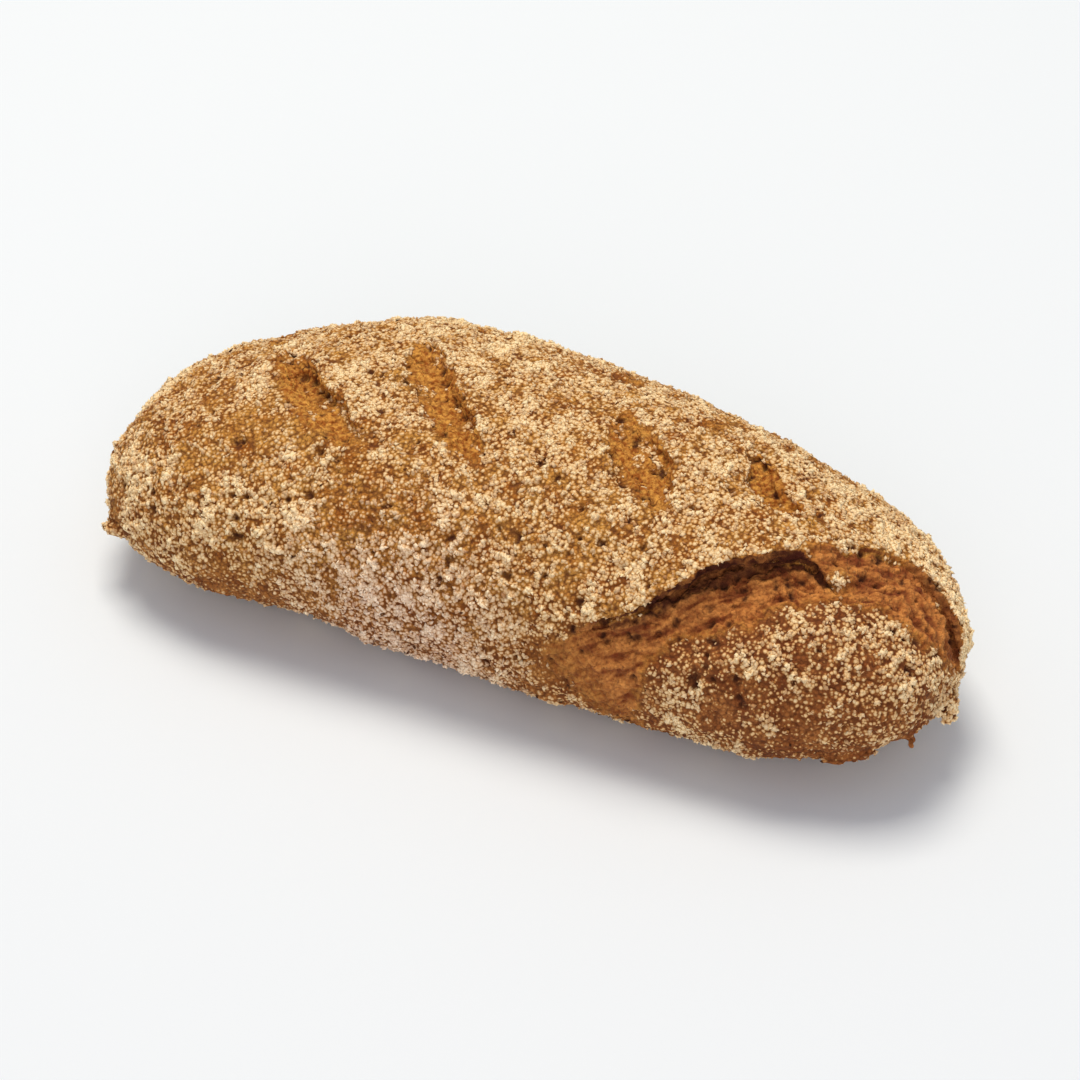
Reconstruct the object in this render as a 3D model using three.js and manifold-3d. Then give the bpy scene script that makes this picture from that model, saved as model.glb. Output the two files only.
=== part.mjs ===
// A long hand-shaped rye loaf with a floured crust: four slanting cuts along its top, and one end that
// burst in the oven, where the crust tore round a blunt nose.
// Millimetres, +Z up. The loaf lies along X with the burst end at +X, and the cuts lean towards -Y.
import * as THREE from "three";
import { ImprovedNoise } from "three/addons/math/ImprovedNoise.js";
import Module from "manifold-3d";

// The bare loaf
const HALF_LENGTH = 110;
const HALF_WIDTH = 47.5;
const WAIST_HEIGHT = 22.5; // where the loaf is widest
const CROWN_RISE = 37.2; // from the waist up to the ridge
const BELLY_DROP = 26.4; // from the waist down, before the tray flattens it
const SECTION_POWER = 0.886; // 1 is an ellipse, less is squarer
const END_BLUNTNESS = 2.35;
const END_POWER = 0.37;
const WIDTH_TAPER = -0.138; // the burst end is the narrower one
const WIDTH_FLARE = 0.152; // both ends keep their width
const HEIGHT_TAPER = 0.016;
const HEIGHT_DROOP = -0.117; // both ends are lower than the middle
const BOW = 9.9; // how far the ends bow to the front
const MIDDLE_SHIFT = 1.4; // sets the bowed loaf evenly about the X axis

// Facets
const FACET = 3.1;
const BASE_FACET = 14;
const SECTION_STEPS = 120;
const SMALLEST_RING = 8; // facets round the smallest slice
const SEAM_FACET = 3.5; // along a cut or tear
const FLOOR_STEPS = 4; // across its floor

// Uneven dough: broad swells and fine crags, as noise over the surface
const SWELL_LENGTH = 21;
const SWELL_HEIGHT = 1.1;
const CRAG_LENGTH = 5.5;
const CRAG_HEIGHT = 0.75;
const LEAST_LIFT = 0.2; // keeps the crust beside the base off the tray
const TIP = 0.05; // an end this short is a single point
const SPINE_INSET = 40; // the ends of the line that the crust bulges away from

// Dents and bulges left by the hands and the oven, each a place, a height and a spread
const HAND_MARKS = [
  { name: "pinched far shoulder", at: [-84, 22, 38], height: -2.4, spread: 22 },
  { name: "full back", at: [-46, 38, 42], height: 1.8, spread: 26 },
  { name: "slack back", at: [44, 38, 42], height: -1.2, spread: 20 },
  { name: "full far corner", at: [86, 20, 36], height: 0.8, spread: 18 },
  { name: "slack near heel", at: [-78, -36, 10], height: 3.0, spread: 18 },
  { name: "drawn-in near side", at: [-46, -42, 10], height: -2.6, spread: 14 },
  { name: "slack nose heel", at: [70, -38, 8], height: 1.6, spread: 14 },
  { name: "tucked nose corner", at: [103, -28, 10], height: -2.4, spread: 11 },
  { name: "full heel", at: [-96, -24, 11], height: 3.0, spread: 14 },
  { name: "heel flake", at: [-100, -36, 15], height: 3.5, spread: 3.8 },
  { name: "nose flake", at: [108, -6, 16], height: 1.8, spread: 4.0 },
];

// Cuts made with a blade, running from the back of the ridge towards the near side
const CUT = {
  undercut: 0.8, // how far the foot of the steep wall goes in under its lip
  depth: 3.8,
  bowl: 2, // 1 is a straight slope, more is a rounder hollow
  lip: 1.0, // how far the torn edge stands up
};
const CUTS = [
  { from: [-75.5, 5], to: [-34.5, -26], width: 9.5 },
  { from: [-43.5, 16.5], to: [-2.5, -22.5], width: 9 },
  { from: [17.5, 11.5], to: [43.5, -16.5], width: 10.5 },
  { from: [49, 14], to: [69, -4], width: 7.5 },
];

// The burst: it starts low on the near side, climbs over the ridge and comes down round the nose
const BURST = { undercut: 2.6, depth: 6.4, bowl: 0.9, lip: 2.4 };
const BURST_WIDTH = { near: 29, nose: 7 }; // of its bare floor, at the near side and at the nose
const BURST_ROUTE = [
  [13, -46, 8],
  [19, -47, 23],
  [31, -43.5, 34],
  [45.5, -39, 42],
  [57.5, -27.5, 49.2],
  [70.5, -17, 50.8],
  [82, -5.5, 49.5],
  [94, 3, 44],
  [104, 1.5, 36.5],
  [109.5, -4.5, 22],
];
// Shares of its length: where its depth starts and is full, and where it fades to a share of that round the nose
const BURST_DEPTH = { starts: 0.14, full: 0.38, fades: 0.5, faded: 0.74, left: 0.45 };
const OPENING_POWER = 0.5; // how bluntly a seam ends
const LIP_REACH = 9; // how far back from a tear its edge is lifted
const TORN_ROUGHNESS = 0.7; // unevenness of the bare dough in a tear
const TORN_STEP = { along: 0.7, across: 0.9 }; // how fast that changes from facet to facet
const CLEARANCE = 12; // how far a cutter stands above the crust

const wasm = await Module();
wasm.setup();

const noise = new ImprovedNoise();
const bulge = (value, power) => Math.sign(value) * Math.abs(value) ** power;
const bell = (distance, spread) => Math.exp(-((distance / spread) ** 2));

// The loaf's cross-section at a place along its length
function sectionAt(x) {
  const t = x / HALF_LENGTH;
  const size = Math.max(0, 1 - Math.abs(t) ** END_BLUNTNESS) ** END_POWER;
  const height = size * (1 + HEIGHT_TAPER * t + HEIGHT_DROOP * t * t);
  return {
    middle: MIDDLE_SHIFT - BOW * t * t,
    halfWidth: HALF_WIDTH * size * (1 + WIDTH_TAPER * t + WIDTH_FLARE * t * t),
    rise: CROWN_RISE * height,
    drop: BELLY_DROP * height,
  };
}

// Angle below the waist at which a section meets the tray, or a quarter turn if it stays above it
function trayAngle(section) {
  const depth = section.drop > WAIST_HEIGHT ? WAIST_HEIGHT / section.drop : 1;
  return Math.asin(depth ** (1 / SECTION_POWER));
}

// A point of the section, from -90 degrees at the bottom by 0 at the near side to 90 at the ridge
function sectionPoint(section, angle) {
  const across = -bulge(Math.cos(angle), SECTION_POWER) * section.halfWidth;
  const up = bulge(Math.sin(angle), SECTION_POWER);
  const height = up * (up > 0 ? section.rise : section.drop);
  return new THREE.Vector2(section.middle + across, Math.max(0, WAIST_HEIGHT + height));
}

function ridgeHeight(x, y) {
  const section = sectionAt(x);
  const across = Math.min(1, Math.abs(y - section.middle) / section.halfWidth);
  const up = Math.max(0, 1 - across ** (2 / SECTION_POWER)) ** (SECTION_POWER / 2);
  return WAIST_HEIGHT + section.rise * up;
}

// The way out of the dough at a point, straight away from the loaf's spine
function outward(point) {
  const reach = HALF_LENGTH - SPINE_INSET;
  const x = THREE.MathUtils.clamp(point.x, -reach, reach);
  const spine = new THREE.Vector3(x, sectionAt(x).middle, WAIST_HEIGHT);
  return point.clone().sub(spine).normalize();
}

// How much of its full depth the burst has at a share of its length
function burstStrength(share) {
  const { starts, full, fades, faded, left } = BURST_DEPTH;
  const fading = THREE.MathUtils.smoothstep(share, fades, faded);
  return THREE.MathUtils.smoothstep(share, starts, full) * THREE.MathUtils.lerp(1, left, fading);
}

// A seam is a line over the crust, with a steep lip on its left and bare dough sloping up on its right
function makeSeam(points, widths, form, strength) {
  const curve = new THREE.CatmullRomCurve3(points.map((p) => new THREE.Vector3(...p)));
  const steps = Math.round(curve.getLength() / SEAM_FACET);
  const stations = curve.getSpacedPoints(steps).map((point, step) => {
    const away = outward(point);
    const share = step / steps;
    const side = curve.getTangentAt(share).cross(away).normalize();
    const open = Math.sin(Math.PI * share) ** OPENING_POWER;
    const floor = open * THREE.MathUtils.lerp(widths[0], widths[1], share);
    return { point, away, side, opening: open * strength(share), floor };
  });
  return { stations, ...form };
}

function cutSeam({ from, to, width }) {
  const points = [0, 0.25, 0.5, 0.75, 1].map((share) => {
    const x = THREE.MathUtils.lerp(from[0], to[0], share);
    const y = THREE.MathUtils.lerp(from[1], to[1], share);
    return [x, y, ridgeHeight(x, y)];
  });
  return makeSeam(points, [width, width], CUT, () => 1);
}

const burst = makeSeam(BURST_ROUTE, [BURST_WIDTH.near, BURST_WIDTH.nose], BURST, burstStrength);
const seams = [...CUTS.map(cutSeam), burst];

// How far a seam lifts the crust beside it: fully at the lip, and hardly on the other side
function lipHeight(seam, point) {
  let nearest = seam.stations[0];
  for (const station of seam.stations) {
    const closer = station.point.distanceToSquared(point) < nearest.point.distanceToSquared(point);
    if (closer) nearest = station;
  }
  const reach = nearest.point.distanceTo(point);
  const offset = point.clone().sub(nearest.point).dot(nearest.side);
  return seam.lip * nearest.opening * bell(reach, LIP_REACH) * (offset < 0 ? 1 : bell(offset, FACET));
}

// Everything that sets the real crust off from the bare loaf, in millimetres outward
function relief(point) {
  const swell = noise.noise(point.x / SWELL_LENGTH, point.y / SWELL_LENGTH, point.z / SWELL_LENGTH);
  const crag = noise.noise(point.x / CRAG_LENGTH, point.y / CRAG_LENGTH, point.z / CRAG_LENGTH);
  let height = SWELL_HEIGHT * swell + CRAG_HEIGHT * crag;
  for (const mark of HAND_MARKS) {
    height += mark.height * bell(point.distanceTo(new THREE.Vector3(...mark.at)), mark.spread);
  }
  for (const seam of seams) height += lipHeight(seam, point);
  return height;
}

function crustPoint(x, y, z) {
  const bare = new THREE.Vector3(x, y, z);
  const crust = bare.clone().addScaledVector(outward(bare), relief(bare));
  crust.z = z === 0 ? 0 : Math.max(LEAST_LIFT, crust.z);
  return crust;
}

// Places along the loaf, evenly spaced over its end-to-end outline
function stationsAlong() {
  const outline = [];
  for (let step = 0; step <= SECTION_STEPS; step += 1) {
    const x = -HALF_LENGTH * Math.cos((Math.PI * step) / SECTION_STEPS);
    outline.push(new THREE.Vector2(x, sectionAt(x).rise));
  }
  const curve = new THREE.SplineCurve(outline);
  const count = Math.round(curve.getLength() / FACET);
  return curve.getSpacedPoints(count).map((place) => place.x);
}

// A closed skin of triangles, sewn row by row
class Skin {
  vertices = [];
  triangles = [];

  add(point) {
    this.vertices.push(point.x, point.y, point.z);
    return this.vertices.length / 3 - 1;
  }

  // Fills the strip between two rows of vertices that start and end together
  sew(row, next) {
    let here = 0;
    let there = 0;
    while (here < row.length - 1 || there < next.length - 1) {
      const rowStep = here < row.length - 1 ? (here + 1) / (row.length - 1) : Infinity;
      const nextStep = there < next.length - 1 ? (there + 1) / (next.length - 1) : Infinity;
      if (rowStep <= nextStep) {
        this.triangles.push(row[here], next[there], row[here + 1]);
        here += 1;
      } else {
        this.triangles.push(row[here], next[there], next[there + 1]);
        there += 1;
      }
    }
  }

  solid() {
    const vertProperties = new Float32Array(this.vertices);
    const triVerts = new Uint32Array(this.triangles);
    return new wasm.Manifold(new wasm.Mesh({ numProp: 3, vertProperties, triVerts }));
  }
}

// One slice of the crust: its arc from the near edge of the base over the ridge to the back edge, and
// the run across the base from the back edge to the near one
function addSlice(skin, x) {
  const section = sectionAt(x);
  const foot = trayAngle(section);
  const bare = [];
  for (let step = 0; step <= SECTION_STEPS; step += 1) {
    const angle = -foot + ((Math.PI + 2 * foot) * step) / SECTION_STEPS;
    bare.push(sectionPoint(section, angle));
  }
  const curve = new THREE.SplineCurve(bare);
  const count = Math.max(SMALLEST_RING, Math.round(curve.getLength() / FACET));
  const places = curve.getSpacedPoints(count);
  const onTray = section.drop > WAIST_HEIGHT;
  if (onTray) {
    places[0].y = 0;
    places[count].y = 0;
  } else {
    places.pop();
  }
  const arc = places.map((place) => skin.add(crustPoint(x, place.x, place.y)));
  if (!onTray) return { arc: [...arc, arc[0]], base: [arc[0]] };
  const near = crustPoint(x, places[0].x, 0);
  const back = crustPoint(x, places[count].x, 0);
  const runs = Math.max(1, Math.round(near.distanceTo(back) / BASE_FACET));
  const base = [arc[count]];
  for (let run = 1; run < runs; run += 1) base.push(skin.add(back.clone().lerp(near, run / runs)));
  base.push(arc[0]);
  return { arc, base };
}

function tipSlice(skin, x) {
  const tip = skin.add(crustPoint(x, sectionAt(x).middle, WAIST_HEIGHT));
  return { arc: [tip], base: [tip] };
}

function wholeLoaf() {
  const skin = new Skin();
  const slices = stationsAlong().map((x) =>
    Math.abs(x) < HALF_LENGTH - TIP ? addSlice(skin, x) : tipSlice(skin, x),
  );
  for (let step = 1; step < slices.length; step += 1) {
    skin.sew(slices[step - 1].arc, slices[step].arc);
    skin.sew(slices[step - 1].base, slices[step].base);
  }
  return skin.solid();
}

// What a seam takes out of the loaf: from its lip down to the foot of the wall, then up along the floor
function opening(seam) {
  const skin = new Skin();
  const last = seam.stations.length - 1;
  const rows = seam.stations.map(({ point, away, side, opening: share, floor }, step) => {
    if (step === 0 || step === last) return [skin.add(point)];
    const place = (across, up) =>
      skin.add(point.clone().addScaledVector(side, across).addScaledVector(away, up));
    const row = [place(floor, CLEARANCE), place(0, CLEARANCE)];
    for (let floorStep = 0; floorStep <= FLOOR_STEPS; floorStep += 1) {
      const across = floorStep / FLOOR_STEPS;
      const roughness = noise.noise(step * TORN_STEP.along, floorStep * TORN_STEP.across, point.x);
      const rough = TORN_ROUGHNESS * share * roughness;
      const depth = seam.depth * share * (1 - across ** seam.bowl);
      row.push(place(floorStep === 0 ? -seam.undercut * share : floor * across, rough - depth));
    }
    return [...row, row[0]];
  });
  for (let step = 1; step < rows.length; step += 1) skin.sew(rows[step - 1], rows[step]);
  return skin.solid();
}

function loafGeometry() {
  const solid = seams.reduce((loafSoFar, seam) => loafSoFar.subtract(opening(seam)), wholeLoaf());
  const { vertProperties, triVerts } = solid.getMesh();
  const geometry = new THREE.BufferGeometry();
  geometry.setAttribute("position", new THREE.BufferAttribute(vertProperties, 3));
  geometry.setIndex(new THREE.BufferAttribute(triVerts, 1));
  geometry.computeBoundingBox();
  const centre = geometry.boundingBox.getCenter(new THREE.Vector3());
  geometry.translate(-centre.x, -centre.y, 0);
  geometry.computeVertexNormals();
  return geometry;
}

const crust = new THREE.MeshStandardMaterial({ color: 0xb98550, roughness: 0.9, metalness: 0 });
const loaf = new THREE.Mesh(loafGeometry(), crust);
loaf.name = "loaf";

const roll = new THREE.Group();
roll.add(loaf);

export default roll;
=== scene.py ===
import math
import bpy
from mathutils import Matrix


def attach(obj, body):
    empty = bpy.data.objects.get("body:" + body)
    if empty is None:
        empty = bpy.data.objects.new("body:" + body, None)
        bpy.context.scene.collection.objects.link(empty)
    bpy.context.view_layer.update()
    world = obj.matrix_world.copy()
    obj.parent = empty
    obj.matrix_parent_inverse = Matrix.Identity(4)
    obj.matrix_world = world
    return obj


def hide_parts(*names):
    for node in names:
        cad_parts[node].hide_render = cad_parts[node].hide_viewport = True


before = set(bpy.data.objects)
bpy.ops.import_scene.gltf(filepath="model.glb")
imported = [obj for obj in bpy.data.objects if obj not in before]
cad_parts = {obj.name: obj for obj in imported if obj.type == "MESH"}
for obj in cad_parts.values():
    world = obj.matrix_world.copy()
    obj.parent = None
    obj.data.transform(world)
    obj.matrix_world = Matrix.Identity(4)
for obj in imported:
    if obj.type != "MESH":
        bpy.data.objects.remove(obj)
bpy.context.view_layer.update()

from types import SimpleNamespace

import bmesh
import bpy
import numpy as np
from mathutils import Vector, noise
from mathutils.bvhtree import BVHTree
from mathutils.kdtree import KDTree

# A long rye loaf with coarse flour on its crust, blade cuts along the top and one end burst open.
# Lengths are in millimetres, and meshes are turned to metres when they are made.

MM = 0.001
draw = np.random.default_rng(1871)

# The loaf's spine, which its crust bulges away from
HALF_LENGTH = 110
WAIST_HEIGHT = 22.5
SPINE_REACH = 70
BOW = 9.9
MIDDLE_SHIFT = 1.4

# Cuts and burst: lines over the crust, with a steep lip on the left and bare dough on the right. Their ends
# are shares of the line's length: where it starts, is fully open and starts to close
SEAM_STEP = 1.2
CUT_ENDS = (0, 0.1, 0.82)
LIP_ENDS = (0.14, 0.36, 0.97)
RIM_ENDS = (0, 0.08, 0.92)
CUTS = [
    {"start": (-75.5, 5), "end": (-34.5, -26), "width": 9.5},
    {"start": (-43.5, 16.5), "end": (-2.5, -22.5), "width": 9},
    {"start": (17.5, 11.5), "end": (43.5, -16.5), "width": 10.5},
    {"start": (49, 14), "end": (69, -4), "width": 7.5},
]
# The burst's lip, from low on the near side up over the ridge to the tip of its tongue
LIP_ROUTE = [
    (13, -46, 8),
    (19, -47, 23),
    (31, -43.5, 34),
    (45.5, -39, 42),
    (57.5, -27.5, 49.2),
    (70, -17, 51.5),
    (76, -14.3, 50.5),
    (80, -15.5, 49),
    (84, -15.5, 48),
]
LIP_SHARES = (0.3, 0.5)  # of its length: the lip starts to stand up, and is at its full height
# The rim, where the burst goes on behind the tongue and down round the nose
RIM_ROUTE = [(72, -12.5, 52.5), (82, -5.5, 49.5), (94, 3, 44), (104, 1.5, 36.5), (109.5, -4.5, 22)]
# The edge of the floured nose, with the burst's bare dough on its left
NOSE_ROUTE = [
    (46, -41, 6),
    (47.8, -44, 24),
    (49.5, -42.6, 32.8),
    (57.5, -39.1, 39.3),
    (67.3, -34, 43.6),
    (75.5, -25.2, 47.6),
    (83.5, -20.3, 47.2),
    (93.7, -15.2, 44.3),
    (102, -13.9, 39.5),
    (107.2, -10.3, 34.3),
    (110, -8, 24),
]
NOSE_FADE = 11  # over which its flour thins out on the left
NOSE_STARTS = (40, 50)  # along the loaf
BURST_FOOT = (32, -44, 24)
BURST_FOOT_REACH = 17
BURST_DEPTH = 20  # how far below the burst's lines its floor may lie

# The crust's skin
SKIN_STEP = 0.45
SKIN_EASING = 14
PLATE_SIZE = 6.0
PLATE_HEIGHT = 0.5
CRAG_SIZE = 2.3
CRAG_HEIGHT = 0.4
GRIT_SIZE = 1.3
GRIT_HEIGHT = 0.2
STREAK_LENGTH = 9
STREAK_WIDTH = 2.0
STREAK_HEIGHT = 0.7
RAGGED_SIZE = 3.2
RAGGED_HEIGHT = 1.2
CRUMB_SIZE = 1.2  # of the torn dough
CRUMB_HEIGHT = 0.45
WAVER_SIZE = 9  # how a seam's line strays to both sides
WAVER = 2.4
BURST_WAVER = 0.3  # the share of it that the burst's edges have
SEAM_TAPER = 0.08  # of a seam's length, over which what moves its edges starts and ends
SLACK_EASING = 140  # rounds for the cuts' walls, which have slumped
SLUMP = 0.85  # the share of that easing that they have
SLUMP_REACH = 6
FLOOR_RISE = 3.0  # of the dough below the burst's lip
CRUST_LEFT = 0.8  # how far scraps of crust hide the cuts' floors
# The painted shadow below the lip, over its wall of darker toasted dough: where it starts to fade, where it
# has faded, and how far it falls
LIP_SHADE = {"from": 2.6, "to": 5.5, "fall": 0.85}
# How dark the rim's wall is: toasted dough and painted shade
RIM_SHADE = 0.4
CLUMP_SIZE = 6.5  # of thick flour
CLUMP_HEIGHT = 0.5

# Pores: how many in the whole crust and in each torn seam, and their usual width
CRUST_PORES = 420
SEAM_PORES = 10
PORE_WIDTH = 1.45
PORE_SPREAD = (0.5, 1.3)  # shares of it
PORE_DEPTH = 0.8  # share of its width
# Large holes: at, width
HOLES = [
    ((-65.8, -1.5, 50.3), 1.6),
    ((-62.8, -3.9, 50.9), 1.3),
    ((-57.2, -8.3, 51.3), 1.2),
    ((-61.4, -17.2, 53), 1.5),
    ((-41.4, -23.9, 52), 1.3),
    ((-26.1, -12.6, 58), 1.4),
    ((-22.8, -14, 57), 1.6),
    ((21.9, -6.9, 58.2), 1.5),
    ((33.3, -3.9, 55.7), 1.4),
    ((49.8, 10.6, 54.8), 1.3),
    ((60, 3.3, 51.5), 1.5),
    ((24, -34, 49), 1.3),
    ((8, -45, 18), 1.8),
    ((9, -45, 16), 1.6),
    ((58.7, -30.7, 41.6), 1.2),
    ((60.3, -33.4, 40.1), 1.2),
    ((61.3, -38.5, 36.5), 2.0),
    ((60.4, -42.4, 29.3), 2.2),
    ((63.7, -28, 43.1), 1.5),
    ((64.9, -25.2, 43.8), 1.3),
    ((70.5, -20.7, 45.3), 1.2),
    ((72.5, -23, 45.1), 1.4),
    ((74.9, -21.8, 45.4), 1.2),
    ((72, -41, 28), 1.5),
    ((90, -13, 46), 1.5),
    ((98, -17, 42), 1.6),
    ((90, 22, 38), 1.5),
    ((99, 12, 37), 1.5),
]

# Scraps of crust that stand off its lower edges: at, half sizes, and the way that the first of them lies
SCRAPS = [
    {"name": "heel flake", "at": (-99.4, -41.6, 16.2), "half": (3.2, 1.9, 1.5), "way": (-0.9, -0.35, 0.1)},
    {"name": "rim's end", "at": (110.2, -8.2, 19), "half": (3.2, 2.4, 2.2), "way": (0.2, -0.4, -0.9)},
    {"name": "knob below it", "at": (110.9, -9.6, 16.2), "half": (2.5, 2.0, 1.8), "way": (0.5, -0.5, -0.7)},
    {"name": "base flange", "at": (95.1, -31.2, 13.6), "half": (7, 2.3, 1.0), "way": (0.79, 0.59, 0.1)},
    {"name": "hooked bit", "at": (106.2, -21.7, 16.2), "half": (2.8, 1.3, 1.2), "way": (0.5, -0.4, -0.7)},
    {"name": "low lump", "at": (23.3, -43.2, 12.2), "half": (3.4, 1.6, 1.5), "way": (1, 0.1, 0)},
    {"name": "burnt lump", "at": (-24.5, -45.2, 13.4), "half": (2.4, 1.5, 1.6), "way": (1, 0, -0.4)},
]

# The tongue: the lip's end, which stays joined to the torn dough behind it, between its near edge and the rim
TONGUE_NEAR = [
    (66, -19.5, 53.5),
    (70.4, -16, 53.9),
    (73.1, -14.6, 53),
    (75.8, -13.9, 52),
    (78.2, -14.6, 50.9),
    (81.2, -15.8, 49.7),
    (84, -15.2, 48.8),
    (87.5, -11.5, 46.6),
    (92, -6, 43.6),
]
TONGUE_FAR = [
    (68, -14, 54),
    (73, -10.5, 53.2),
    (77, -7.5, 51.8),
    (80.5, -4.8, 50.6),
    (84, -2.2, 49.5),
    (88, 0.6, 47.7),
    (92, 3.4, 45.2),
    (95, 5, 43),
    (97, 4.5, 41),
]
TONGUE_THICKNESS = 7
TONGUE_TIP = (83.5, -15, 49)
TONGUE_TIP_REACH = 3.4  # of the crust that stayed on it

# Flour: the usual share covered, and how strongly uneven sifting and the crust's own relief change it
FLOUR_SHARE = 0.49
FLOUR_DRIFT = {"size": 10, "change": 0.18}
FLOUR_HEAPS = {"size": 5, "change": 0.44}
FLOUR_ON = {"crag": 0.22, "grit": 0.32, "clump": 0.3}
NOSE_THINNING = 0.6
TORN_BARE = 0.95  # how far torn dough and the base are without flour
BASE_BARE = 0.8
# Painted light: the flour on the low front is painted paler and pinker for the light that falls there
PALE_FRONT = (-0.015, -0.047, 0.018)  # in metres, as materials measure: the middle of the palest flour
PALE_REACH = (0.012, 0.042)  # in metres: palest up to the first, full colour from the second
PALENESS = 0.6
# Sizes of the material's patterns
FINE_SIZE = 1.0
MOTTLE_SIZE = 1.3
BLOTCH_SIZE = 6
GRAIN_SIZE = 1.0

# Loose grains and flecks: how many, their usual size, its spread and how they are stretched
FLOUR_CRUMBS = {"count": 24900, "size": 0.92, "spread": 0.25, "stretch": (1.3, 1, 0.85)}
BURNT_BITS = {"count": 420, "size": 1.1, "spread": 0.35, "stretch": (1.4, 0.8, 0.6)}
STRAY_CRUMBS = 0.02  # weight of a place without flour, for crumbs that lie there all the same
CRUMB_JITTER = 0.12  # how far a crumb's corners stray, as a share of its size
CRUMB_LIFT = 0.04  # how far its middle stands off the crust, as a share of its size
CRUMB_FLATTENING = 0.3  # how far it is pressed onto the crust
TONE_SPREAD = 0.16

# Places with more or less flour than the rest: at, spread, change of the share covered
FLOUR_PATCHES = [
    {"name": "golden left end", "at": (-94, -24, 42), "spread": 10, "change": -0.2},
    {"name": "golden shoulder", "at": (-74, -33, 46), "spread": 11, "change": -0.26},
    {"name": "thin shoulder", "at": (-62, -26, 51), "spread": 12, "change": -0.2},
    {"name": "golden middle", "at": (-40, -30, 51), "spread": 9, "change": -0.2},
    {"name": "brown middle", "at": (-25, -38, 47), "spread": 13, "change": -0.22},
    {"name": "brown run to the burst", "at": (20, -33, 49), "spread": 14, "change": -0.12},
    {"name": "rubbed heel, left", "at": (-65, -49, 14), "spread": 8, "change": -0.6},
    {"name": "rubbed heel, middle", "at": (-53, -49, 14), "spread": 8, "change": -0.6},
    {"name": "rubbed heel, right", "at": (-40, -49, 13), "spread": 7, "change": -0.5},
    {"name": "smooth end", "at": (-99, -40, 22), "spread": 5, "change": -0.6},
    {"name": "bare spot behind the third cut", "at": (9, 27, 55), "spread": 4, "change": -0.6},
    {"name": "bare spot before the fourth cut", "at": (37, 16, 57), "spread": 3, "change": -0.5},
    {"name": "bare spot behind the second cut", "at": (-44, 11, 57), "spread": 3.5, "change": -0.5},
    {"name": "foot of the burst", "at": (30, -45, 20), "spread": 11, "change": -0.42},
    {"name": "bare nose side", "at": (67, -42, 29), "spread": 7, "change": -0.3},
    {"name": "low nose", "at": (85, -39, 20), "spread": 17, "change": -0.52},
    {"name": "thick ridge", "at": (-31, 20, 56), "spread": 24, "change": 0.2},
    {"name": "thick ridge end", "at": (70, 12, 52), "spread": 22, "change": 0.1},
    {"name": "thick burst shoulder", "at": (46, -13, 56), "spread": 13, "change": 0.14},
    {"name": "thick nose", "at": (92, -24, 42), "spread": 12, "change": 0.02},
    {"name": "clumps over the rim", "at": (88, 7, 47), "spread": 7, "change": 0.3},
    {"name": "clumps down the rim", "at": (103, 8, 37), "spread": 9, "change": 0.35},
    {"name": "floury end of the rim", "at": (109.5, -2, 28), "spread": 7, "change": 0.6},
    {"name": "knob below the rim", "at": (111, -9, 17.5), "spread": 3.5, "change": 0.6},
    {"name": "bare flange", "at": (95.4, -32.2, 12.6), "spread": 5, "change": -0.8},
    {"name": "bare hook", "at": (106.4, -22.1, 15.6), "spread": 3.5, "change": -0.9},
    {"name": "tip of the tongue", "at": TONGUE_TIP, "spread": 4, "change": 0.9},
    {"name": "nose clump", "at": (54, -43, 27), "spread": 5, "change": 0.4},
    {"name": "thick left front", "at": (-62, -45, 38), "spread": 8, "change": 0.2},
    {"name": "clump below the first cut", "at": (-45.5, -43.3, 41), "spread": 4, "change": 0.35},
    {"name": "thick crust before the first cut", "at": (-71.5, -14.5, 51), "spread": 5, "change": 0.3},
    {"name": "thick crust behind the first cut", "at": (-44, -8, 57), "spread": 9, "change": 0.15},
    {"name": "clump below the second cut", "at": (-20.5, -29, 53.6), "spread": 4, "change": 0.35},
    {"name": "thick crust before the third cut", "at": (9, -8.5, 59), "spread": 9, "change": 0.12},
    {"name": "thick low left", "at": (-35, -47, 33), "spread": 9, "change": 0.12},
    {"name": "thick left end", "at": (-92, -40, 33), "spread": 8, "change": 0.15},
    {"name": "thick low front", "at": (-18, -47, 25), "spread": 14, "change": 0.1},
]


def spine(points):
    """The point of the loaf's spine nearest to each point, in the loaf's length."""
    x = np.clip(points[:, 0], -SPINE_REACH, SPINE_REACH)
    return np.stack([x, MIDDLE_SHIFT - BOW * (x / HALF_LENGTH) ** 2, np.full_like(x, WAIST_HEIGHT)], 1)


def unit(vectors):
    return vectors / np.maximum(np.linalg.norm(vectors, axis=1, keepdims=True), 1e-9)


def ease(value, low, high):
    """0 up to low, 1 from high, and a soft step between."""
    share = np.clip((value - low) / (high - low), 0, 1)
    return share * share * (3 - 2 * share)


def bell(distance, spread):
    return np.exp(-((distance / spread) ** 2))


def lumps(points, size):
    """Soft noise from about -1 to 1, with lumps of that size."""
    return np.array([noise.noise(place) for place in (points / size).tolist()])


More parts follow.
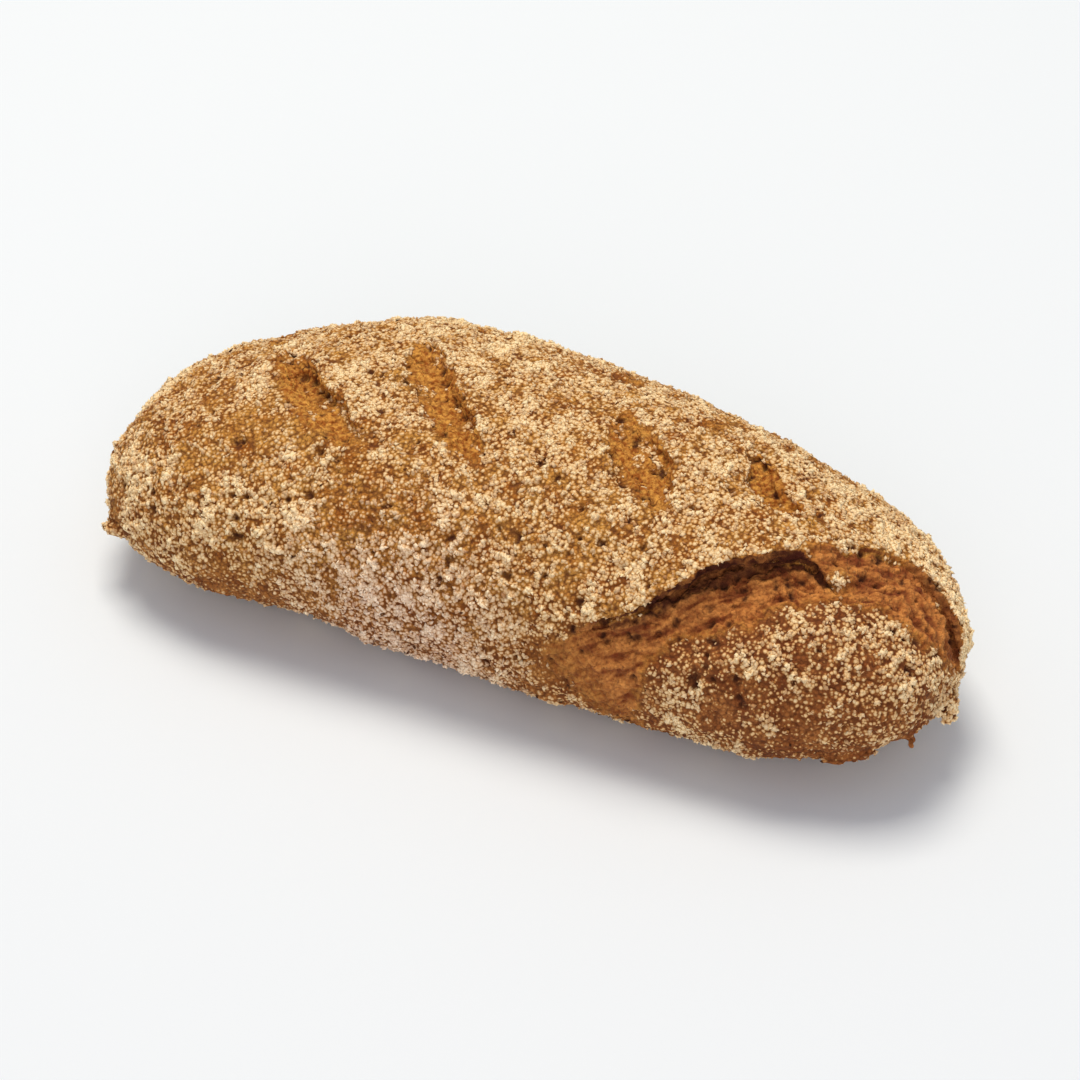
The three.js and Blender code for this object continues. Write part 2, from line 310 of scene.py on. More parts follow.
def seam_line(route, width=0, ends=(0, 0.05, 0.95)):
    """A smooth line through the route, with the way along it, out of the crust and to its right; ends are the
    shares of its length where it starts, is fully open and starts to close. A width is that of a cut's bare
    floor."""
    knots = np.array(route, float)
    knots = np.concatenate([[2 * knots[0] - knots[1]], knots, [2 * knots[-1] - knots[-2]]])
    gaps = np.linalg.norm(np.diff(knots, axis=0), axis=1) ** 0.5
    line = []
    for k in range(1, len(knots) - 2):
        before, start, end, after = knots[k - 1:k + 3]
        g0, g1, g2 = gaps[k - 1:k + 2]
        leave = ((start - before) / g0 - (end - before) / (g0 + g1) + (end - start) / g1) * g1
        arrive = ((end - start) / g1 - (after - start) / (g1 + g2) + (after - end) / g2) * g1
        for s in np.linspace(0, 1, 40, endpoint=False):
            line.append(
                start * (2 * s**3 - 3 * s**2 + 1)
                + leave * (s**3 - 2 * s**2 + s)
                + end * (3 * s**2 - 2 * s**3)
                + arrive * (s**3 - s**2)
            )
    line = np.array(line + [knots[-2]])
    run = np.concatenate([[0], np.cumsum(np.linalg.norm(np.diff(line, axis=0), axis=1))])
    places = np.linspace(0, run[-1], int(run[-1] / SEAM_STEP) + 1)
    line = np.stack([np.interp(places, run, line[:, axis]) for axis in range(3)], 1)
    along = unit(np.gradient(line, axis=0))
    away = unit(line - spine(line))
    side = unit(np.cross(along, away))
    return {"line": line, "along": along, "away": away, "side": side, "width": width, "ends": ends}


def beside_seam(seam, points):
    """Each point's share of the seam's length, its distances to the right and above, the floor's width there,
    and the ways to the right and out of the crust."""
    line = seam["line"]
    gap = (points**2).sum(1)[:, None] + (line**2).sum(1)[None] - 2 * points @ line.T
    nearest = gap.argmin(1)
    step = points - line[nearest]
    ahead = (step * seam["along"][nearest]).sum(1)
    share = (nearest + ahead / SEAM_STEP) / (len(line) - 1)
    side = seam["side"][nearest]
    away = seam["away"][nearest]
    return SimpleNamespace(
        share=share,
        offset=(step * side).sum(1),
        above=(step * away).sum(1),
        floor=seam["width"] * np.sin(np.pi * np.clip(share, 0, 1)) ** 0.5,
        side=side,
        away=away,
    )


def new_piece(name, vertices, faces, material):
    mesh = bpy.data.meshes.new(name)
    mesh.from_pydata((np.asarray(vertices) * MM).tolist(), [], np.asarray(faces).tolist())
    piece = bpy.data.objects.new(name, mesh)
    bpy.context.scene.collection.objects.link(piece)
    mesh.materials.append(material)
    mesh.polygons.foreach_set("use_smooth", np.ones(len(mesh.polygons), bool))
    return piece


def mesh_points(mesh):
    points = np.empty(len(mesh.vertices) * 3)
    mesh.vertices.foreach_get("co", points)
    return points.reshape(-1, 3) / MM


def mesh_normals(mesh):
    normals = np.empty(len(mesh.vertices) * 3)
    mesh.vertex_normals.foreach_get("vector", normals)
    return normals.reshape(-1, 3)


def set_points(mesh, points):
    mesh.vertices.foreach_set("co", (points * MM).astype(np.float32).ravel())
    mesh.update()


def mark(mesh, name, values):
    """Writes one number per vertex into the mesh, for its material to read."""
    layer = mesh.attributes.new(name, "FLOAT", "POINT")
    layer.data.foreach_set("value", values.astype(np.float32))


def even_skin(mesh, step):
    """A copy of a closed mesh with faces of one size all over."""
    helper = bpy.data.objects.new("even_skin", mesh)
    bpy.context.scene.collection.objects.link(helper)
    remesh = helper.modifiers.new("even", "REMESH")
    remesh.mode = "VOXEL"
    remesh.voxel_size = step * MM
    bpy.context.view_layer.update()
    evaluated = helper.evaluated_get(bpy.context.evaluated_depsgraph_get())
    even = bpy.data.meshes.new_from_object(evaluated)
    bpy.data.objects.remove(helper)
    return even


def eased(points, edges, rounds):
    """The points after being drawn some rounds towards the middle of their neighbours."""
    here = np.concatenate([edges[:, 0], edges[:, 1]])
    there = np.concatenate([edges[:, 1], edges[:, 0]])
    count = np.bincount(here, minlength=len(points))[:, None]
    for _ in range(rounds):
        sums = [np.bincount(here, points[there, axis], len(points)) for axis in range(3)]
        points = 0.5 * points + 0.5 * np.stack(sums, 1) / count
    return points


# Materials

def colour(hex_code):
    """A linear colour from an sRGB hex value."""
    parts = [int(hex_code[k:k + 2], 16) / 255 for k in (1, 3, 5)]
    return [c / 12.92 if c <= 0.04045 else ((c + 0.055) / 1.055) ** 2.4 for c in parts] + [1]


def add(material, kind, inputs=None, **settings):
    """Adds a node with its settings; inputs are values, or outputs of other nodes to link from."""
    node = material.node_tree.nodes.new(kind)
    for name, value in settings.items():
        setattr(node, name, value)
    for socket, value in (inputs or {}).items():
        if isinstance(value, bpy.types.NodeSocket):
            material.node_tree.links.new(value, node.inputs[socket])
        else:
            node.inputs[socket].default_value = value
    return node


def new_material(name):
    material = bpy.data.materials.new(name)
    material.use_nodes = True
    material.node_tree.nodes.clear()
    return material


def per_metre(size):
    """Noise scale for a pattern of that size in mm."""
    return 1 / (size * MM)


def front_light_paleness(material, place):
    """How far the flour is painted paler and pinker for the light on the low front: most there, fading with
    distance from it.
    """
    near, far = PALE_REACH
    away = add(material, "ShaderNodeVectorMath", {0: place, 1: PALE_FRONT}, operation="DISTANCE")
    limits = {0: away.outputs["Value"], 1: near, 2: far, 3: PALENESS, 4: 0}
    return add(material, "ShaderNodeMapRange", limits).outputs[0]


def floured_rye_crust():
    """Baked rye dough under sifted coarse flour: a matt brown crust with round flour grains, cream where they
    lie thick and tan where they are thin, torn crumb where it opened, toasted darker and painted with shadow
    under the lip, dark pores, painted shade in the creases, between the grains and in the pores, and flour
    painted paler and pinker on the low front for the light there."""
    m = new_material("floured_rye_crust")
    place = add(m, "ShaderNodeTexCoord").outputs["Object"]
    flour, ruddy, gap, torn, burst, streak, toast_and_painted_shade, pore_shade, base = (
        add(m, "ShaderNodeAttribute", attribute_name=name).outputs["Fac"]
        for name in ("flour", "ruddy", "gap", "torn", "burst", "streak", "toast_and_painted_shade", "pore_shade", "base")
    )
    fine, mottle, blotch = (
        add(m, "ShaderNodeTexNoise", {"Vector": place, "Scale": per_metre(size), "Detail": detail}).outputs[0]
        for size, detail in ((FINE_SIZE, 2), (MOTTLE_SIZE, 4), (BLOTCH_SIZE, 3))
    )
    fines = add(m, "ShaderNodeMapRange", {0: fine, 1: 0.3, 2: 0.7}).outputs[0]
    mottles = add(m, "ShaderNodeMapRange", {0: mottle, 1: 0.38, 2: 0.62}).outputs[0]
    blotches = add(m, "ShaderNodeMapRange", {0: blotch, 1: 0.35, 2: 0.65}).outputs[0]
    golden = add(
        m, "ShaderNodeMix", {0: blotches, 6: colour("#a3611c"), 7: colour("#d29a48")}, data_type="RGBA"
    ).outputs[2]
    russet = add(
        m, "ShaderNodeMix", {0: blotches, 6: colour("#793e1a"), 7: colour("#a66634")}, data_type="RGBA"
    ).outputs[2]
    tan = add(m, "ShaderNodeMix", {0: ruddy, 6: golden, 7: russet}, data_type="RGBA").outputs[2]
    # Round grains over the crust, lighter in their middles and darker between them: partly flour on their
    # tops and bare crust between, partly painted shade between the grains
    grain = add(m, "ShaderNodeTexVoronoi", {"Vector": place, "Scale": per_metre(GRAIN_SIZE)})
    rounds = add(m, "ShaderNodeMapRange", {0: grain.outputs["Distance"], 1: 0.9, 2: 0.2, 3: -0.25, 4: 0.75})
    own_tone = {0: grain.outputs["Color"], 1: 0.5, 2: rounds.outputs[0]}
    grains = add(m, "ShaderNodeMath", own_tone, operation="MULTIPLY_ADD").outputs[0]
    between = add(m, "ShaderNodeMapRange", {0: grains, 1: 0.55, 2: 0.12, 4: 0.7}).outputs[0]
    shaded_between_grains = add(m, "ShaderNodeMix", {0: between, 6: tan, 7: colour("#633415")}, data_type="RGBA").outputs[2]
    # Darker in the creases between the crags: bare brown crust there, and painted crease shade
    crust = add(m, "ShaderNodeMix", {0: gap, 6: shaded_between_grains, 7: colour("#5c2f13")}, data_type="RGBA").outputs[2]
    gold_crumb = add(
        m, "ShaderNodeMix", {0: mottles, 6: colour("#9e591a"), 7: colour("#dfa44c")}, data_type="RGBA"
    ).outputs[2]
    strung = add(m, "ShaderNodeMapRange", {0: streak, 1: 0.1, 2: 0.95, 4: 0.55}).outputs[0]
    fibres = add(m, "ShaderNodeMath", {0: mottles, 1: 0.45, 2: strung}, operation="MULTIPLY_ADD").outputs[0]
    red_crumb = add(
        m, "ShaderNodeMix", {0: fibres, 6: colour("#823f17"), 7: colour("#da934c")}, data_type="RGBA"
    ).outputs[2]
    crumb = add(m, "ShaderNodeMix", {0: burst, 6: gold_crumb, 7: red_crumb}, data_type="RGBA").outputs[2]
    strand = add(m, "ShaderNodeMapRange", {0: streak, 1: 0.4, 2: 0, 4: 0.6}).outputs[0]
    stranded = add(
        m, "ShaderNodeMix", {0: strand, 6: crumb, 7: colour("#74381a")}, data_type="RGBA"
    ).outputs[2]
    # Torn crumb darker in the creases too: partly darker crumb, partly painted crease shade
    cracks_and_shade = add(m, "ShaderNodeMapRange", {0: gap, 4: 0.5}).outputs[0]
    cracked_and_shaded = add(
        m, "ShaderNodeMix", {0: cracks_and_shade, 6: stranded, 7: colour("#6f3517")}, data_type="RGBA"
    ).outputs[2]
    # Toasted seam dough, darkened further by painted shadow under the lip and painted shade on the rim's wall
    seared_and_shaded = add(m, "ShaderNodeMix", {0: toast_and_painted_shade, 6: cracked_and_shaded, 7: colour("#471b0b")}, data_type="RGBA").outputs[2]
    bread = add(m, "ShaderNodeMix", {0: torn, 6: crust, 7: seared_and_shaded}, data_type="RGBA").outputs[2]
    specks = add(m, "ShaderNodeMapRange", {0: fine, 1: 0.58, 2: 0.72, 4: 0.6}).outputs[0]
    bran = add(m, "ShaderNodeMix", {0: specks, 6: bread, 7: colour("#5e3012")}, data_type="RGBA").outputs[2]
    baked = add(m, "ShaderNodeMix", {0: base, 6: bran, 7: colour("#8a5428")}, data_type="RGBA").outputs[2]
    thick = add(m, "ShaderNodeMapRange", {0: flour, 3: -0.52, 4: 0.1}).outputs[0]
    kept = add(m, "ShaderNodeMath", {0: torn, 1: -0.7, 2: thick}, operation="MULTIPLY_ADD").outputs[0]
    light = add(m, "ShaderNodeMath", {0: grains, 1: 0.7, 2: kept}, operation="MULTIPLY_ADD").outputs[0]
    cover = add(
        m, "ShaderNodeMapRange", {0: light, 1: 0.05, 2: 0.32}, interpolation_type="SMOOTHSTEP"
    ).outputs[0]
    brights = add(m, "ShaderNodeMapRange", {0: light, 1: 0.1, 2: 0.75}).outputs[0]
    dust = add(
        m, "ShaderNodeMix", {0: brights, 6: colour("#cc964f"), 7: colour("#ffeabc")}, data_type="RGBA"
    ).outputs[2]
    # Painted light: paler, pinker flour on the low front
    pale = add(
        m, "ShaderNodeMix", {0: brights, 6: colour("#c08f68"), 7: colour("#fbe6d6")}, data_type="RGBA"
    ).outputs[2]
    powder = add(
        m, "ShaderNodeMix", {0: front_light_paleness(m, place), 6: dust, 7: pale}, data_type="RGBA"
    ).outputs[2]
    floured = add(m, "ShaderNodeMix", {0: cover, 6: baked, 7: powder}, data_type="RGBA").outputs[2]
    # Painted shade in the pores' hollows: dark brown
    pore_shaded = add(m, "ShaderNodeMix", {0: pore_shade, 6: floured, 7: colour("#47220f")}, data_type="RGBA").outputs[2]
    height = add(m, "ShaderNodeMath", {0: fines, 1: 0.5, 2: grains}, operation="MULTIPLY_ADD").outputs[0]
    bump = add(m, "ShaderNodeBump", {"Height": height, "Strength": 0.9, "Distance": 0.5 * MM}).outputs[0]
    skin = add(
        m,
        "ShaderNodeBsdfPrincipled",
        {"Base Color": pore_shaded, "Roughness": 0.88, "Specular IOR Level": 0.25, "Normal": bump},
    )
    add(m, "ShaderNodeOutputMaterial", {"Surface": skin.outputs[0]})
    return m


def toasted_flour():
    """Coarse rye flour toasted on the crust: matt cream grains, some browner than others, painted paler and
    pinker on the low front for the light there.
    """
    m = new_material("toasted_flour")
    tone = add(m, "ShaderNodeAttribute", attribute_name="tone").outputs["Fac"]
    place = add(m, "ShaderNodeTexCoord").outputs["Object"]
    cream = add(m, "ShaderNodeMix", {0: tone, 6: colour("#ad7339"), 7: colour("#ffebbf")}, data_type="RGBA")
    pale = add(m, "ShaderNodeMix", {0: tone, 6: colour("#a8714a"), 7: colour("#fdeade")}, data_type="RGBA")
    grain = add(
        m,
        "ShaderNodeMix",
        {0: front_light_paleness(m, place), 6: cream.outputs[2], 7: pale.outputs[2]},
        data_type="RGBA",
    )
    skin = add(
        m,
        "ShaderNodeBsdfPrincipled",
        {"Base Color": grain.outputs[2], "Roughness": 0.92, "Specular IOR Level": 0.2},
    )
    add(m, "ShaderNodeOutputMaterial", {"Surface": skin.outputs[0]})
    return m


def burnt_bran():
    """Bran and seed husks that caught in the oven: dark flecks."""
    m = new_material("burnt_bran")
    tone = add(m, "ShaderNodeAttribute", attribute_name="tone").outputs["Fac"]
    husk = add(m, "ShaderNodeMix", {0: tone, 6: colour("#2a150b"), 7: colour("#6e3d1a")}, data_type="RGBA")
    skin = add(
        m,
        "ShaderNodeBsdfPrincipled",
        {"Base Color": husk.outputs[2], "Roughness": 0.8, "Specular IOR Level": 0.2},
    )
    add(m, "ShaderNodeOutputMaterial", {"Surface": skin.outputs[0]})
    return m


# The loaf's crust

def on_top(tree, x, y):
    """The place on the part's solid straight below a point, for laying a cut over it."""
    hit = tree.ray_cast(Vector((x * MM, y * MM, 1)), Vector((0, 0, -1)))[0]
    return tuple(c / MM for c in hit)


def lay_seams(tree):
    """The lines of the cuts and of the burst, by name."""
    seams = {}
    for number, cut in enumerate(CUTS, 1):
        steps = np.linspace(0, 1, 9)[:, None]
        flat = np.array(cut["start"]) * (1 - steps) + np.array(cut["end"]) * steps
        route = [on_top(tree, x, y) for x, y in flat]
        seams[f"cut {number}"] = seam_line(route, cut["width"], CUT_ENDS)
    seams["lip"] = seam_line(LIP_ROUTE, ends=LIP_ENDS)
    seams["rim"] = seam_line(RIM_ROUTE, ends=RIM_ENDS)
    return seams


def settled(seams, points, slack):
    """The points with the seams' edges wavering, the cuts' walls slumped and the burst's floor risen."""
    waver = lumps(points, WAVER_SIZE) + 0.5 * lumps(points, 0.4 * WAVER_SIZE)
    moved = points.copy()
    for name, seam in seams.items():
        at = beside_seam(seam, points)
        within = ease(at.share, 0, SEAM_TAPER) * (1 - ease(at.share, 1 - SEAM_TAPER, 1))
        within *= ease(at.above, -BURST_DEPTH, 0)
        if seam["width"]:
            moved += (slack - points) * (SLUMP * within * bell(at.offset - 1, SLUMP_REACH))[:, None]
        if name == "lip":
            rise = FLOOR_RISE * ease(at.share, *LIP_SHARES) * bell(at.offset - 1, SLUMP_REACH)
            rise *= ease(-at.above, 2, 4.5)
            moved += at.away * (within * rise)[:, None]
        shift = WAVER * within * waver * np.maximum(bell(at.offset, 5), bell(at.offset - at.floor, 4))
        moved += at.side * (shift * (1 if seam["width"] else BURST_WAVER))[:, None]
    return moved


def torn_dough(seams, points, normals):
    """What the seams do to each point: how far it is bare torn dough, and dough in the burst, how dark it is
    as toasted dough with painted shadow under the lip and painted shade on the rim's wall, its streaks, how
    near it is to a seam's edge, how far it is on the nose, and how far the nose's flour is thinned out there."""
    ragged = 1.5 * lumps(points, 4) + 0.9 * lumps(points, 1.6)
    nose_edge = beside_seam(seam_line(NOSE_ROUTE), points)
    nose = ease(nose_edge.offset + 1.6 * ragged, -1.5, 1.5)
    left_on = ease(lumps(points + 40, 5) + 0.5 * lumps(points, 2), 0.2, 0.45)
    torn, burst, toast_and_painted_shade, streaks, edge = np.zeros((5, len(points)))
    for name, seam in seams.items():
        at = beside_seam(seam, points)
        starts, opens, closes = seam["ends"]
        within = ease(at.share, starts, opens) * (1 - ease(at.share, closes, 1))
        within *= ease(at.above, -BURST_DEPTH, 2 - BURST_DEPTH)
        facing = (normals * at.side).sum(1)
        underside = 1 - ease((normals * at.away).sum(1), 0.1, 0.5)
        below = np.maximum(ease(-at.above, 2, 3), ease(-at.above, 0.8, 1.6) * underside)
        left = np.maximum(ease(at.offset + ragged, -0.6, 0.6), below * ease(at.offset, -6, -4))
        right = 1 - nose
        far_edge = 0
        if seam["width"]:
            right = 1 - ease(at.offset + ragged, 0.75 * at.floor, at.floor)
            far_edge = 0.6 * bell(at.offset - 0.9 * at.floor, 2)
        wall = ease(facing, 0.35, 0.6) * ease(-np.abs(at.offset), -5, -3)
        here = within * np.maximum(left * right, wall)
        if seam["width"]:
            here *= 1 - CRUST_LEFT * left_on
        torn = np.maximum(torn, here)
        length = len(seam["line"]) * SEAM_STEP
        run = np.stack(
            [at.share * length / STREAK_LENGTH, at.offset / STREAK_WIDTH, at.above / STREAK_LENGTH], 1
        )
        strands = lumps(run, 1) + 0.6 * lumps(run + 7, 0.42)
        streaks += here * strands * (0.5 if seam["width"] else 1)
        edge = np.maximum(edge, within * np.maximum(bell(at.offset, 2), far_edge))
        if name == "lip":
            foot = ease(-at.offset - ragged, -2.5, -0.5) * ease(-at.above, 0.3, 1.6)
            under = ease(at.share, *LIP_SHARES) * np.maximum(wall, foot)
            # Painted shadow under the lip: darkest just below its edge and fading further down, over toasted
            # dough
            shade = 1 - LIP_SHADE["fall"] * ease(-at.above, LIP_SHADE["from"], LIP_SHADE["to"])
            shade *= np.clip(0.95 + 0.45 * ragged, 0.4, 1)
            toast_and_painted_shade = np.maximum(toast_and_painted_shade, here * under * shade)
        elif name == "rim":
            # Painted shade on the rim's wall, over toasted dough
            toast_and_painted_shade = np.maximum(toast_and_painted_shade, RIM_SHADE * here * wall)
        if not seam["width"]:
            burst = np.maximum(burst, here)
    torn *= 1 - bell(np.linalg.norm(points - TONGUE_TIP, axis=1), TONGUE_TIP_REACH)
    on_nose = nose * ease(points[:, 0], *NOSE_STARTS) * ease(-points[:, 1], -6, 2)
    fade = NOSE_FADE * (1 - ease(nose_edge.share, 0.35, 0.6)) + 2
    bare = on_nose * (1 - ease((nose_edge.offset + 2 * ragged) / fade, 0, 1))
    return torn, burst, toast_and_painted_shade, streaks, edge, on_nose, bare


def flour_cover(points, crag, grit, clumps, torn, base):
    """The share of each place that flour covers: more on high crags and grit, and more or less by patches."""
    share = np.full(len(points), FLOUR_SHARE)
    for patch in FLOUR_PATCHES:
        share += patch["change"] * bell(np.linalg.norm(points - patch["at"], axis=1), patch["spread"])
    drift = FLOUR_DRIFT["change"] * lumps(points, FLOUR_DRIFT["size"])
    heaps = FLOUR_HEAPS["change"] * lumps(points, FLOUR_HEAPS["size"])
    share += drift + heaps + FLOUR_ON["crag"] * crag + FLOUR_ON["grit"] * grit + FLOUR_ON["clump"] * clumps
    return np.clip(share, 0, 1) * (1 - TORN_BARE * torn) * (1 - BASE_BARE * base)


def pores_in(points, weights, edge):
    """Holes of a few overlapping dots each: how deep they take the crust in, and how dark their hollows are
    painted as shade.
    """
    spots = draw.choice(len(points), CRUST_PORES, replace=False, p=weights / weights.sum())
    edge_count = SEAM_PORES * (len(CUTS) + 1)
    edge_spots = draw.choice(len(points), edge_count, replace=False, p=edge**2 / (edge**2).sum())
    holes = list(HOLES)
    for spot in np.concatenate([spots, edge_spots]):
        holes.append((points[spot], PORE_WIDTH * draw.uniform(*PORE_SPREAD)))
    tree = KDTree(len(points))
    for index, point in enumerate(points.tolist()):
        tree.insert(point, index)
    tree.balance()
    fall = np.zeros(len(points))
    depth = np.zeros(len(points))
    for middle, width in holes:
        lead = draw.normal(size=3)
        lead *= 0.5 * width / np.linalg.norm(lead)
        middle = points[tree.find(Vector(middle))[1]]
        for dot in range(draw.integers(2, 5)):
            wide = width * draw.uniform(0.4, 0.75)
            spot = middle + dot * lead + draw.normal(scale=0.15 * width, size=3)
            for _, index, gap in tree.find_range(Vector(spot), 2 * wide):
                share = math.exp(-((gap / wide) ** 2))
                fall[index] = max(fall[index], share)
                depth[index] = max(depth[index], width * share)
    return PORE_DEPTH * depth, ease(fall + 0.35 * lumps(points, 0.9), 0.25, 1)


def slab(near, far, thickness):
    """A closed solid between two edges, as thick as that towards the loaf's spine."""
    near, far = np.array(near, float), np.array(far, float)
    rows = [near, far, far - thickness * unit(far - spine(far)), near - thickness * unit(near - spine(near))]
    count = len(near)
    faces = [(0, count, 2 * count, 3 * count), tuple(count * k + count - 1 for k in (3, 2, 1, 0))]
    for k in range(4):
        a, b = count * k, count * ((k + 1) % 4)
        faces += [(a + j, a + j + 1, b + j + 1, b + j) for j in range(count - 1)]
    return np.concatenate(rows), faces


def lump(at, half, way):
    """A closed rounded solid of those half sizes, the first of them along the way."""
    shape = bmesh.new()
    bmesh.ops.create_icosphere(shape, subdivisions=3, radius=1)
    corners = np.array([v.co for v in shape.verts])
    faces = [tuple(v.index for v in f.verts) for f in shape.faces]
    shape.free()
    along = Vector(way).normalized()
    across = along.cross(Vector((0, 0, 1))).normalized()
    return (corners * np.array(half)) @ np.array([along, across, along.cross(across)]) + np.array(at), faces


def loaf_crust(material):
    """The loaf: the part's own solid with an even fine skin, roughened as dough, flour and torn crumb are."""
    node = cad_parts["loaf"].data
    corners = np.array([v.co for v in node.vertices]) / MM
    sides = [tuple(p.vertices) for p in node.polygons]
    seams = lay_seams(BVHTree.FromPolygons((corners * MM).tolist(), sides))
    added = [slab(TONGUE_NEAR, TONGUE_FAR, TONGUE_THICKNESS)]
    added += [lump(scrap["at"], scrap["half"], scrap["way"]) for scrap in SCRAPS]
    for more, more_sides in added:
        sides += [tuple(k + len(corners) for k in side) for side in more_sides]
        corners = np.concatenate([corners, more])
    dough = bpy.data.meshes.new("dough")
    dough.from_pydata((corners * MM).tolist(), [], sides)
    mesh = even_skin(dough, SKIN_STEP)
    mesh.name = "loaf_crust"
    edges = np.empty(len(mesh.edges) * 2, int)
    mesh.edges.foreach_get("vertices", edges)
    points = eased(mesh_points(mesh), edges.reshape(-1, 2), SKIN_EASING)
    points = settled(seams, points, eased(points, edges.reshape(-1, 2), SLACK_EASING))
    set_points(mesh, points)
    normals = mesh_normals(mesh)
    base = (1 - ease(points[:, 2], 0.6, 2.2)) * ease(-normals[:, 2], 0.2, 0.7)
    torn, burst, toast_and_painted_shade, streaks, edge, nose, bare = torn_dough(seams, points, normals)
    crag = 3 * np.abs(lumps(points, CRAG_SIZE)) - 0.55
    grit = lumps(points, GRIT_SIZE) + 0.5 * lumps(points, 0.6 * GRIT_SIZE)
    clumps = ease(lumps(points, CLUMP_SIZE), 0.36, 0.55)
    flour = flour_cover(points, crag, grit, clumps, torn, base) * (1 - NOSE_THINNING * bare)
    depth, dark = pores_in(points, (1 - base) * (0.5 + torn), edge * (1 - base))
    flour *= 1 - dark
    relief = PLATE_HEIGHT * lumps(points, PLATE_SIZE)
    relief += CRAG_HEIGHT * crag
    relief += GRIT_HEIGHT * (1 - torn) * grit
    relief += torn * CRUMB_HEIGHT * (lumps(points, CRUMB_SIZE) + 0.6 * lumps(points, 0.5 * CRUMB_SIZE))
    relief += STREAK_HEIGHT * streaks
    relief += RAGGED_HEIGHT * edge * lumps(points, RAGGED_SIZE)
    relief += CLUMP_HEIGHT * flour * clumps
    relief -= depth
    points += normals * (relief * (1 - base))[:, None]
    points[:, 2] = np.maximum(points[:, 2], 0)
    set_points(mesh, points)
    mark(mesh, "flour", flour)
    foot = bell(np.linalg.norm(points - BURST_FOOT, axis=1), BURST_FOOT_REACH)
    mark(mesh, "ruddy", np.maximum(0.8 * (1 - ease(points[:, 2], 10, 40)), 0.9 * np.maximum(nose, foot)))
    # Creases between the crust's crags, which the material darkens: bare brown crust and painted crease shade
    mark(mesh, "gap", ease(-crag, 0.1, 0.7))
    mark(mesh, "torn", torn)
    mark(mesh, "burst", burst)
    mark(mesh, "streak", 0.5 + streaks)
    # Toasted seam dough with painted shadow under the lip and painted shade on the rim's wall
    mark(mesh, "toast_and_painted_shade", toast_and_painted_shade)
    # How dark the pores are painted: shade in their hollows
    mark(mesh, "pore_shade", dark)
    mark(mesh, "base", base)
    mesh.materials.clear()
    mesh.materials.append(material)
    mesh.polygons.foreach_set("use_smooth", np.ones(len(mesh.polygons), bool))
    piece = bpy.data.objects.new("loaf_crust", mesh)
    bpy.context.scene.collection.objects.link(piece)
    return piece, flour, torn


# Flour crumbs and burnt bits

# A crumb before it is stretched and turned: six corners and eight faces
CRUMB_CORNERS = np.concatenate([np.eye(3), -np.eye(3)])
CRUMB_FACES = np.array(
    [(0, 1, 2), (1, 3, 2), (3, 4, 2), (4, 0, 2), (1, 0, 5), (3, 1, 5), (4, 3, 5), (0, 4, 5)]
)


def random_turns(count):
    """Turns about every way, as matrices."""
    q = unit(draw.normal(size=(count, 4)))
    w, x, y, z = q.T
    rows = [
        [1 - 2 * (y * y + z * z), 2 * (x * y - w * z), 2 * (x * z + w * y)],
        [2 * (x * y + w * z), 1 - 2 * (x * x + z * z), 2 * (y * z - w * x)],
        [2 * (x * z - w * y), 2 * (y * z + w * x), 1 - 2 * (x * x + y * y)],
    ]
    return np.array(rows).transpose(2, 0, 1)


def scattered_crumbs(name, crust, weights, tones, kind, material):
    """Small angular crumbs stuck to the crust where the weights of its vertices are high, with its tones."""
    count = kind["count"]
    points = mesh_points(crust.data)
    normals = mesh_normals(crust.data)
    chosen = draw.choice(len(points), count, replace=False, p=weights / weights.sum())
    sizes = kind["size"] * np.exp(kind["spread"] * np.clip(draw.normal(size=count), -1.2, 1.6))
    radii = 0.5 * sizes[:, None] * draw.uniform(0.6, 1.3, (count, 3)) * np.array(kind["stretch"])
    jitter = draw.normal(scale=CRUMB_JITTER, size=(count, 6, 3)) * sizes[:, None, None]
    corners = CRUMB_CORNERS * radii[:, None] + jitter
    corners = np.einsum("nij,nkj->nki", random_turns(count), corners)
    flat = (corners * normals[chosen][:, None]).sum(2, keepdims=True) * normals[chosen][:, None]
    middles = points[chosen] + normals[chosen] * (CRUMB_LIFT * sizes)[:, None]
    vertices = (corners - CRUMB_FLATTENING * flat + middles[:, None]).reshape(-1, 3)
    vertices[:, 2] = np.maximum(vertices[:, 2], 0.02)
    faces = (CRUMB_FACES + 6 * np.arange(count)[:, None, None]).reshape(-1, 3)
    piece = new_piece(name, vertices, faces, material)
    mark(piece.data, "tone", np.repeat(np.clip(tones[chosen] + draw.normal(0, TONE_SPREAD, count), 0, 1), 6))
    return piece


crust_finish = floured_rye_crust()
flour_finish = toasted_flour()
bran_finish = burnt_bran()

crust, flour, torn = loaf_crust(crust_finish)
heights = mesh_points(crust.data)[:, 2]
crumb_weights = flour**3 + STRAY_CRUMBS * ease(heights, 2, 6) * (1 - torn)
crumb_tones = np.maximum(1.2 * flour - 0.18, 0.2)
crumbs = scattered_crumbs("flour_crumbs", crust, crumb_weights, crumb_tones, FLOUR_CRUMBS, flour_finish)
low = ease(-heights, -16, -4) * ease(heights, 0.8, 2.5) + 0.03 * ease(heights, 4, 10)
bits = scattered_crumbs("burnt_bits", crust, low, np.full(len(low), 0.5), BURNT_BITS, bran_finish)

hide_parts("loaf")
for piece in (crust, crumbs, bits):
    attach(piece, "root")


# Stage, light and camera

def floor_paper():
    """Matt pale paper under the loaf."""
    m = new_material("floor_paper")
    skin = add(m, "ShaderNodeBsdfPrincipled", {"Base Color": colour("#e3eef9"), "Roughness": 0.95})
    add(m, "ShaderNodeOutputMaterial", {"Surface": skin.outputs[0]})
    return m


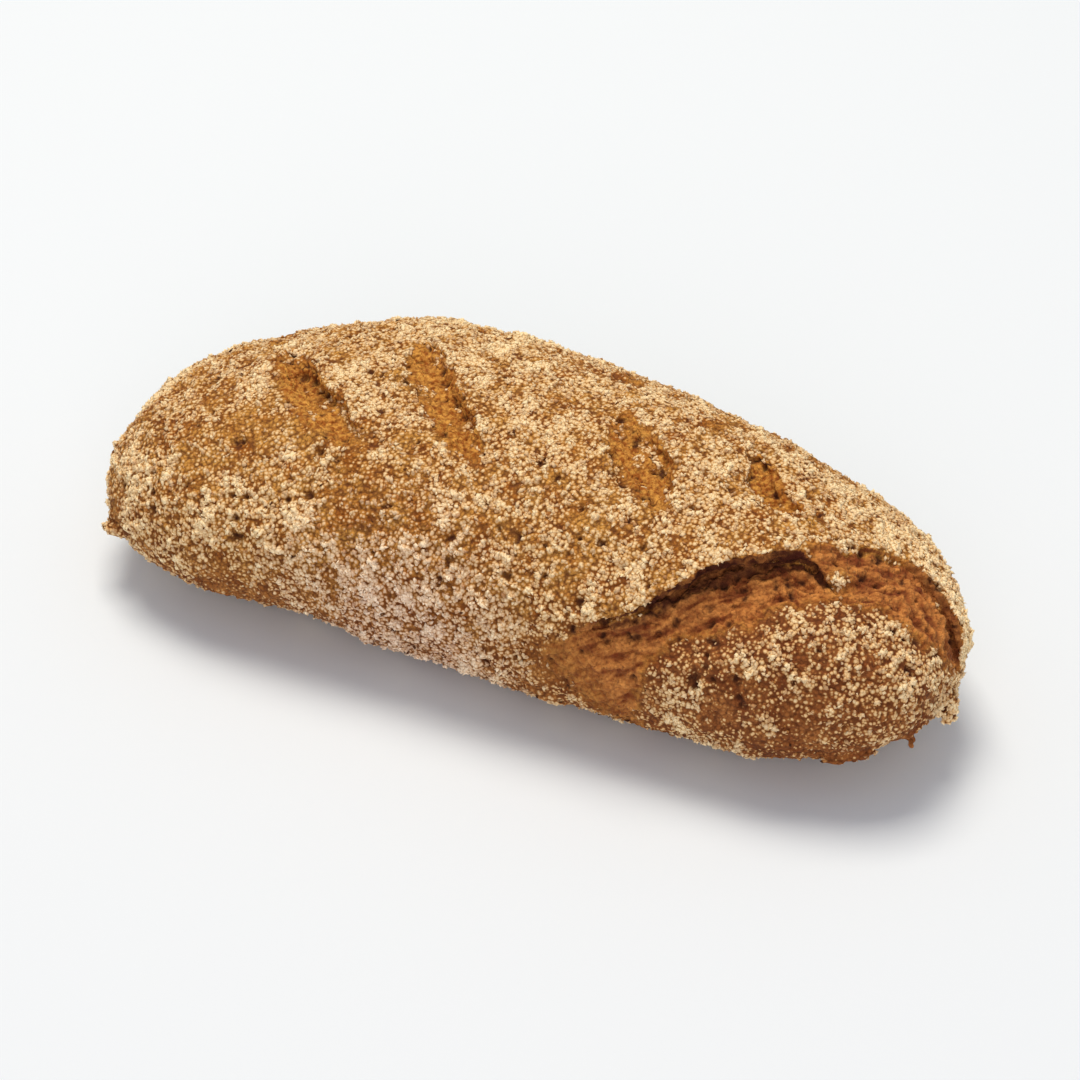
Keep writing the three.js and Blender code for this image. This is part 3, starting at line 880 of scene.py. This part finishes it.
HALF_FLOOR = 3000
FLOOR_LEVEL = -0.3  # just below the base, so that the two don't fight
floor = new_piece(
    "floor",
    [(x * HALF_FLOOR, y * HALF_FLOOR, FLOOR_LEVEL) for x, y in ((-1, -1), (1, -1), (1, 1), (-1, 1))],
    [(0, 1, 2, 3)],
    floor_paper(),
)

world = bpy.data.worlds.new("studio")
world.use_nodes = True
world.node_tree.nodes["Background"].inputs["Color"].default_value = colour("#f2f2f4")
world.node_tree.nodes["Background"].inputs["Strength"].default_value = 0.45
bpy.context.scene.world = world
bpy.context.scene.view_settings.view_transform = "Standard"


def soft_light(name, place, size, watts, tint):
    """A square soft box that faces the loaf."""
    data = bpy.data.lights.new(name, "AREA")
    data.shape = "SQUARE"
    data.size = size
    data.energy = watts
    data.color = colour(tint)[:3]
    light = bpy.data.objects.new(name, data)
    light.location = place
    light.rotation_euler = (Vector((0, 0, 0.03)) - Vector(place)).to_track_quat("-Z", "Y").to_euler()
    bpy.context.scene.collection.objects.link(light)


soft_light("overhead", place=(-0.4, 0.4, 1.9), size=0.9, watts=30, tint="#fff1de")
soft_light("front", place=(0.7, -1.4, 0.8), size=1.2, watts=9, tint="#ffe8e2")

VIEW_AZIMUTH = math.radians(27.705)
VIEW_ELEVATION = math.radians(38)
VIEW_DISTANCE = 0.7  # metres, as all lengths of the view
VIEW_MIDDLE = Vector((0, -0.0085, 0.025))
AIM_RIGHT = 0.003
AIM_UP = 0.0008
to_right = Vector((math.cos(VIEW_AZIMUTH), math.sin(VIEW_AZIMUTH), 0))
to_camera = Vector(
    (
        math.sin(VIEW_AZIMUTH) * math.cos(VIEW_ELEVATION),
        -math.cos(VIEW_AZIMUTH) * math.cos(VIEW_ELEVATION),
        math.sin(VIEW_ELEVATION),
    )
)
aim = VIEW_MIDDLE + AIM_RIGHT * to_right + AIM_UP * to_camera.cross(to_right)
camera_data = bpy.data.cameras.new("camera")
camera_data.lens = 95.6
camera_data.sensor_width = 36
camera = bpy.data.objects.new("camera", camera_data)
camera.location = aim + VIEW_DISTANCE * to_camera
camera.rotation_euler = to_camera.to_track_quat("Z", "Y").to_euler()
bpy.context.scene.collection.objects.link(camera)
bpy.context.scene.camera = camera
